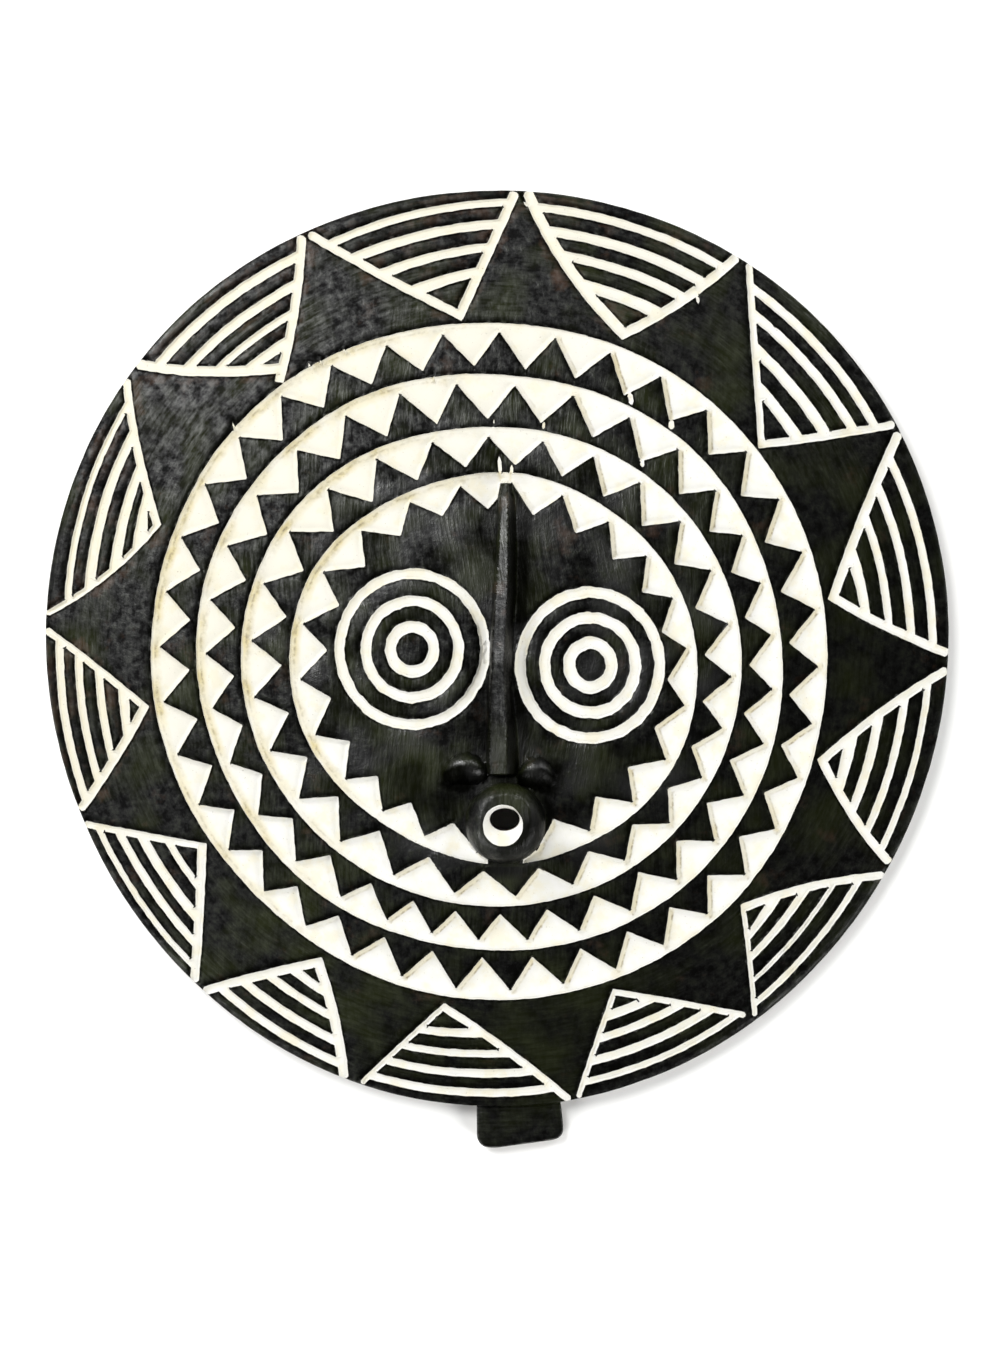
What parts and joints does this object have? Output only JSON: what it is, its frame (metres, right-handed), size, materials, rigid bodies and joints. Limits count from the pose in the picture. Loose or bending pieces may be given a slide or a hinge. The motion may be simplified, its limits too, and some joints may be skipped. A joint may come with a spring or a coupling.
{
  "type": "sun mask",
  "caption": "Round carved wooden sun mask with rings of teeth, hatched rays, ringed eyes, a ridge nose and a tube mouth, lying on its back.",
  "frame": {"origin": "centre of the bounding box on the flat of the back, on the surface the mask lies on", "axes": "+Z out of the face, +Y towards the top of the mask, +X to the right of the mask as it is looked at"},
  "size_m": [0.5016, 0.5324, 0.0535],
  "materials": {
    "blackened_wood": "satin"
  },
  "bodies": {
    "root": {"sun_mask": "blackened_wood"}
  },
  "joints": []
}
